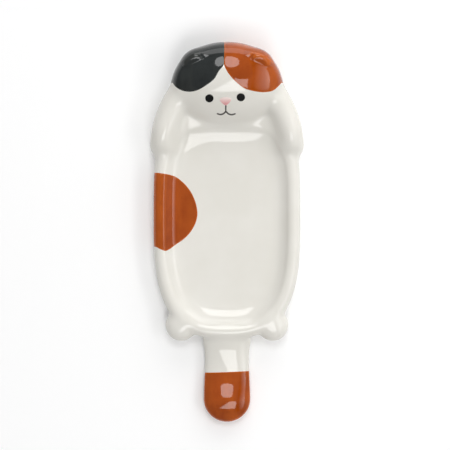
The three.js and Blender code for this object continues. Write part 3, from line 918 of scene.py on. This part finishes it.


# %% [markdown]
# ## How the skin bends
# Glaze is coloured glass. It runs thin over a ridge, so the pot is paler on its edges. The white glaze is
# also painted darker in its creases, which is painted shade. A picture painted on the body could show that,
# but it would have to be redrawn with every change of shape. So a number is stored on the points instead:
# "bow", how strongly the skin bends outwards.

# %% Store how the skin bends
def points_of(made):
    points = np.empty(len(made.data.vertices) * 3, dtype=np.float32)
    made.data.vertices.foreach_get("co", points)
    return points.reshape(-1, 3).astype(float) / MM


def store_bow(made, reach=1.2):
    x, y, z = points_of(made).T
    bow = -6 * body_clay(x, y, z)
    for step in np.vstack([np.eye(3), -np.eye(3)]) * reach:
        bow += body_clay(x + step[0], y + step[1], z + step[2])
    bow /= reach ** 2
    attribute = made.data.attributes.new("bow", "FLOAT", "POINT")
    attribute.data.foreach_set("value", bow.astype(np.float32))
    print(made.name, "bows from", round(bow.min(), 2), "to", round(bow.max(), 2))


for made in (body, dark_cap, orange_cap, flank_patch, tail_dip):
    store_bow(made)


# %% [markdown]
# ## Tools for finishes
# A finish in Blender is a tree of nodes. Trees can be drawn by hand in the shader editor, but a script
# can't show that drawing. A few short helpers make the tree readable as code instead: add a node with its
# sockets filled, turn one range of numbers into another, blend two colours, read a stored number, and
# make a soft cloud of noise.

# %% Add a node and change a range
def add(tree, kind, **sockets):
    made = tree.nodes.new("ShaderNode" + kind)
    for name, value in sockets.items():
        socket = made.inputs[name.replace("_", " ")]
        if isinstance(value, bpy.types.NodeSocket):
            tree.links.new(value, socket)
        else:
            socket.default_value = value
    return made


def ramp(tree, value, low, high, start=0.0, end=1.0):
    ends = {"From_Min": low, "From_Max": high, "To_Min": start, "To_Max": end}
    return add(tree, "MapRange", Value=value, **ends).outputs[0]


def stored(tree, name):
    made = tree.nodes.new("ShaderNodeAttribute")
    made.attribute_name = name
    return made.outputs["Fac"]


print("numbers stored on a coat:", ", ".join(dark_cap.data.attributes.keys()))


# %% [markdown]
# ## Blending and clouding
# No glaze has one flat colour. Each is a blend of a thin and a thick shade, and soft clouds of noise say
# where it is which. The noise is laid out in the piece's own space, so it needs no unwrapping and moves
# with the piece.

# %% Blend two colours and make a cloud
def blend(tree, share, first, second):
    made = tree.nodes.new("ShaderNodeMix")
    made.data_type = "RGBA"
    tree.links.new(share, made.inputs["Factor"])
    colour_sockets = [socket for socket in made.inputs if socket.type == "RGBA"]
    for socket, colour in zip(colour_sockets, (first, second)):
        if isinstance(colour, tuple):
            socket.default_value = (*colour, 1)
        else:
            tree.links.new(colour, socket)
    return [socket for socket in made.outputs if socket.type == "RGBA"][0]


def cloud(tree, scale, detail=2.0, stretch=(1, 1, 1)):
    place = tree.nodes.new("ShaderNodeTexCoord").outputs["Object"]
    place = add(tree, "Mapping", Vector=place, Scale=stretch).outputs[0]
    return add(tree, "TexNoise", Vector=place, Scale=scale, Detail=detail).outputs["Fac"]


def new_finish(name):
    material = bpy.data.materials.new(name)
    material.use_nodes = True
    print("new finish:", name)
    return material, material.node_tree, material.node_tree.nodes["Principled BSDF"]


print("finishes mixed so far:", len(bpy.data.materials))


# %% [markdown]
# ## The white glaze
# The white is warm and a little uneven, as a dipped glaze is, and shows the buff clay through where it ran
# thin over a ridge. In the hollows it is painted a darker grey, which is painted shade. One flat white
# would look like plastic. So the shade follows a cloud and the stored bow, a ripple too small to see by
# itself bends the highlights, and the clay is bare where the rest stands on the table.

# %% Mix the white glaze
WHITE_SHINE = 0.4
WHITE_ROUGHNESS = 0.025
BARE_ROUGHNESS = 0.8


def ripple(tree, shader, scale, height):
    bump = add(tree, "Bump", Height=cloud(tree, scale), Strength=1.0, Distance=height * MM)
    tree.links.new(bump.outputs[0], shader.inputs["Normal"])


def white_glaze():
    material, tree, shader = new_finish("white_glaze")
    bow = stored(tree, "bow")
    clouded = ramp(tree, cloud(tree, 45), 0.35, 0.65)
    colour = blend(tree, clouded, (0.81, 0.79, 0.735), (0.785, 0.765, 0.705))
    # The hollows are painted a darker grey: this is painted shade in the creases.
    colour = blend(tree, ramp(tree, bow, -0.05, -0.4, 0.0, 0.5), colour, (0.72, 0.71, 0.66))
    colour = blend(tree, ramp(tree, bow, 0.25, 0.6, 0.0, 0.5), colour, (0.80, 0.76, 0.67))
    place = tree.nodes.new("ShaderNodeNewGeometry").outputs["Position"]
    height = add(tree, "SeparateXYZ", Vector=place).outputs["Z"]
    bare = ramp(tree, height, 1.2 * MM, 0.5 * MM)
    tree.links.new(blend(tree, bare, colour, (0.60, 0.50, 0.38)), shader.inputs["Base Color"])
    tree.links.new(ramp(tree, bare, 0.0, 1.0, WHITE_ROUGHNESS, BARE_ROUGHNESS), shader.inputs["Roughness"])
    shader.inputs["Specular IOR Level"].default_value = WHITE_SHINE
    ripple(tree, shader, 70, 0.02)
    return material


def paint(made, material):
    made.data.materials.clear()
    made.data.materials.append(material)


paint(body, white_glaze())


# %% [markdown]
# ## The coloured glazes
# Orange and charcoal are brushed over the white. They thin out to a bright line along the brush stroke
# and break to a paler shade over the ear rims, and faint streaks follow the brush. Two flat colours would
# miss all of that, so the thin shade is blended in by the stored depth, by the stored bow and by a cloud
# that is drawn out lengthwise.

# %% Mix the coloured glazes
BRUSHED_ROUGHNESS = 0.045
BRUSHED_SHINE = 0.42
BRUSH_STRETCH = (1.0, 0.18, 1.0)


def brushed_glaze(name, plain, deep, thin, break_share):
    material, tree, shader = new_finish(name)
    colour = blend(tree, ramp(tree, cloud(tree, 60, 4), 0.4, 0.62), plain, deep)
    streaks = ramp(tree, cloud(tree, 120, 3, BRUSH_STRETCH), 0.45, 0.75, 0.0, 0.4)
    colour = blend(tree, streaks, colour, thin)
    colour = blend(tree, ramp(tree, stored(tree, "bow"), 0.12, 0.34, 0.0, break_share), colour, thin)
    colour = blend(tree, ramp(tree, stored(tree, "depth"), 0.7, 0.1), colour, thin)
    tree.links.new(colour, shader.inputs["Base Color"])
    shader.inputs["Roughness"].default_value = BRUSHED_ROUGHNESS
    shader.inputs["Specular IOR Level"].default_value = BRUSHED_SHINE
    ripple(tree, shader, 110, 0.015)
    return material


orange_shades = (0.38, 0.070, 0.007), (0.30, 0.05, 0.004), (0.56, 0.125, 0.012)
dark_shades = (0.025, 0.029, 0.029), (0.017, 0.020, 0.020), (0.050, 0.050, 0.044)
orange_glaze = brushed_glaze("orange_glaze", *orange_shades, 0.7)
paint(dark_cap, brushed_glaze("dark_glaze", *dark_shades, 0.3))
for made in (orange_cap, flank_patch, tail_dip):
    paint(made, orange_glaze)


# %% [markdown]
# ## Face stains
# The eyes are dull black drops, the nose is a soft pink that fades upwards, and the mouth is a thin wash
# of grey. The three differ only in their shades and their shine, so one function mixes them. The fading
# of the nose could be a painted picture, but a ramp along the length of the cat does it without one.

# %% Mix the face stains
NOSE_FADE = (80.8 * MM, 83.6 * MM)


def stain(name, light, deep, roughness, shine=0.5, fades_to=None):
    material, tree, shader = new_finish(name)
    colour = blend(tree, ramp(tree, cloud(tree, 400, 3), 0.35, 0.65), light, deep)
    if fades_to:
        place = tree.nodes.new("ShaderNodeTexCoord").outputs["Object"]
        along = add(tree, "SeparateXYZ", Vector=place).outputs["Y"]
        colour = blend(tree, ramp(tree, along, *NOSE_FADE), colour, fades_to)
    tree.links.new(colour, shader.inputs["Base Color"])
    shader.inputs["Roughness"].default_value = roughness
    shader.inputs["Specular IOR Level"].default_value = shine
    return material


eye_black = stain("eye_black", (0.003, 0.003, 0.003), (0.006, 0.006, 0.006), 0.5, 0.15)
paint(eye_left, eye_black)
paint(eye_right, eye_black)
paint(nose, stain("nose_pink", (0.80, 0.43, 0.42), (0.76, 0.36, 0.36), 0.15, fades_to=(0.88, 0.72, 0.68)))
paint(mouth, stain("mouth_grey", (0.05, 0.045, 0.04), (0.10, 0.09, 0.08), 0.3))


# %% [markdown]
# ## White paper
# The finish of the floor is matt white paper. Paper that is only lit turns grey away from the lamps, and
# brighter lamps would bleach the glaze. So the paper glows very faintly, but only where it is looked at
# or mirrored, and the glow throws no light on the rest.

# %% Mix the paper
PAPER_GLOW = 0.08


def white_paper():
    material, tree, shader = new_finish("paper")
    grain = ramp(tree, cloud(tree, 300, 4), 0.3, 0.7)
    colour = blend(tree, grain, (0.95, 0.95, 0.95), (0.93, 0.93, 0.93))
    tree.links.new(colour, shader.inputs["Base Color"])
    rays = tree.nodes.new("ShaderNodeLightPath")
    seen = rays.outputs["Is Camera Ray"]
    for other in ("Is Glossy Ray", "Is Transmission Ray"):
        either = tree.nodes.new("ShaderNodeMath")
        either.operation = "MAXIMUM"
        tree.links.new(seen, either.inputs[0])
        tree.links.new(rays.outputs[other], either.inputs[1])
        seen = either.outputs[0]
    tree.links.new(ramp(tree, seen, 0.0, 1.0, 0.0, PAPER_GLOW), shader.inputs["Emission Strength"])
    shader.inputs["Emission Color"].default_value = (1, 1, 1, 1)
    shader.inputs["Specular IOR Level"].default_value = 0
    shader.inputs["Roughness"].default_value = 0.9
    return material


paper = white_paper()


# %% [markdown]
# ## The floor
# The rest lies on a sheet of that paper. A plane primitive would do, but the soft boxes below are sheets
# with other corners, so one helper makes them all from their corners. The Standard view shows white paper
# as white, where the default view would grey it.

# %% Lay the floor
bpy.context.scene.view_settings.view_transform = "Standard"
FLOOR_HALF = 1.5


def sheet(name, corners, material):
    mesh = bpy.data.meshes.new(name)
    mesh.from_pydata(corners, [], [list(range(len(corners)))])
    made = bpy.data.objects.new(name, mesh)
    bpy.context.scene.collection.objects.link(made)
    paint(made, material)
    print(name, "is a sheet with", len(corners), "corners")
    return made


floor_corners = [(x * FLOOR_HALF, y * FLOOR_HALF, 0) for x, y in ((-1, -1), (1, -1), (1, 1), (-1, 1))]
sheet("floor", floor_corners, paper)


# %% [markdown]
# ## What a soft box is
# A soft box is a lamp behind cloth, and the glaze mirrors its outline as a highlight. Blender's area
# lights come as rectangles and ovals only. A glowing sheet can have any corners, and its glow can fade
# towards the edge, where a hard edge mirrored in the rim would look like a crack.

# %% Make a soft box
def glow(name, strength, fading):
    material = bpy.data.materials.new(name)
    material.use_nodes = True
    tree = material.node_tree
    tree.nodes.clear()
    light = add(tree, "Emission", Strength=strength)
    if fading:
        place = tree.nodes.new("ShaderNodeTexCoord").outputs["Generated"]
        place = add(tree, "Mapping", Vector=place, Location=(-1, -1, 0), Scale=(2, 2, 0)).outputs[0]
        centred = tree.nodes.new("ShaderNodeTexGradient")
        centred.gradient_type = "SPHERICAL"
        tree.links.new(place, centred.inputs["Vector"])
        fade = ramp(tree, centred.outputs["Fac"], 0.0, 0.8, 0.0, strength)
        tree.links.new(fade, light.inputs["Strength"])
    out = tree.nodes.new("ShaderNodeOutputMaterial")
    tree.links.new(light.outputs[0], out.inputs["Surface"])
    return material


def soft_box(name, corners, strength, fading=False):
    made = sheet(name, corners, glow(name, strength, fading))
    made.visible_camera = False
    print(name, "glows at", strength)


print("soft boxes are hidden from the camera, and the glaze still mirrors them")


# %% [markdown]
# ## Soft boxes overhead
# Two boxes show as highlights: a slanted one beyond the tail, mirrored in the chest, and a rounded one
# beyond the head, mirrored in the lower wall of the dish. One big lamp would light the clay as well, but
# its mirror image would cover the dish. A broad, fading ceiling on the right gives most of the light and
# the soft shadow on the left.

# %% Hang the boxes overhead
HANG = 1.4
SOUTH_PLAN = [(-0.42, -0.98), (0.12, -0.26), (0.48, -0.26), (0.48, -0.98)]
CEILING_PLAN = [(0.60, -1.7), (2.5, -1.7), (2.5, 1.3), (0.60, 1.3)]
ROUND_AT = 0.64
ROUND_HALF = (0.28, 0.36)
ROUND_CORNERS = 16
SQUARED_OFF = 0.7


def squared(value):
    return math.copysign(abs(value) ** SQUARED_OFF, value)


turns = np.arange(ROUND_CORNERS) / ROUND_CORNERS * 2 * math.pi
round_plan = [(ROUND_HALF[0] * squared(math.cos(turn)), ROUND_AT + ROUND_HALF[1] * squared(math.sin(turn)))
              for turn in turns]
soft_box("south_box", [(x, y, HANG) for x, y in SOUTH_PLAN], 5.5)
soft_box("north_box", [(x, y, HANG) for x, y in round_plan], 5.7)
soft_box("east_ceiling", [(x, y, HANG) for x, y in CEILING_PLAN], 4.1, True)


# %% [markdown]
# ## Walls and sky
# A studio also has pale walls, and steep clay mirrors them. Without them the sides of the rest turn dull.
# Three leaning sheets stand for the walls, the brightest beyond the head, and a plain white sky fills
# what is left. A picture of a studio would do the same, but it would be one more file to carry.

# %% Put up the walls and the sky
SKY = 0.26
soft_box("east_wall", [(1.5, -1.3, 0.1), (1.5, 1.1, 0.1), (1.4, 1.1, 1.3), (1.4, -1.3, 1.3)], 0.5)
soft_box("north_wall", [(1.4, 1.5, 0.1), (-0.5, 1.5, 0.1), (-0.5, 1.4, 1.2), (1.4, 1.4, 1.2)], 2.5)
soft_box("south_wall", [(-0.5, -1.5, 0.1), (1.4, -1.5, 0.1), (1.4, -1.4, 1.2), (-0.5, -1.4, 1.2)], 0.3)
world = bpy.data.worlds.new("studio")
world.use_nodes = True
sky = world.node_tree.nodes["Background"]
sky.inputs["Color"].default_value = (1, 1, 1, 1)
sky.inputs["Strength"].default_value = SKY
bpy.context.scene.world = world
print("sky glows at", SKY)


# %% [markdown]
# ## The camera
# The photograph was taken from straight above. A camera without perspective would flatten head and ears,
# so this one hangs high with a long lens, worked out so that at the level of the dish one pixel is as
# wide as in the photograph.

# %% Set up the camera
PIXEL = 0.63
PHOTO_SIDE = 450
PHOTO_SHIFT = (-2.0, 7.75)
CAMERA_HEIGHT = 1.5
DISH_LEVEL = 0.012
SENSOR = 36
camera_data = bpy.data.cameras.new("camera")
camera = bpy.data.objects.new("camera", camera_data)
bpy.context.scene.collection.objects.link(camera)
camera.location = (PHOTO_SHIFT[0] * PIXEL * MM, PHOTO_SHIFT[1] * PIXEL * MM, CAMERA_HEIGHT)
camera_data.sensor_width = SENSOR
camera_data.lens = SENSOR * (CAMERA_HEIGHT - DISH_LEVEL) / (PHOTO_SIDE * PIXEL * MM)
bpy.context.scene.camera = camera
print("camera sees", PHOTO_SIDE * PIXEL, "mm with a lens of", round(camera_data.lens), "mm")


# %% [markdown]
# ## Updating the scene
# Last, Blender updates the scene, so that every piece made above is in its place.

# %% Update the scene and finish
bpy.context.view_layer.update()
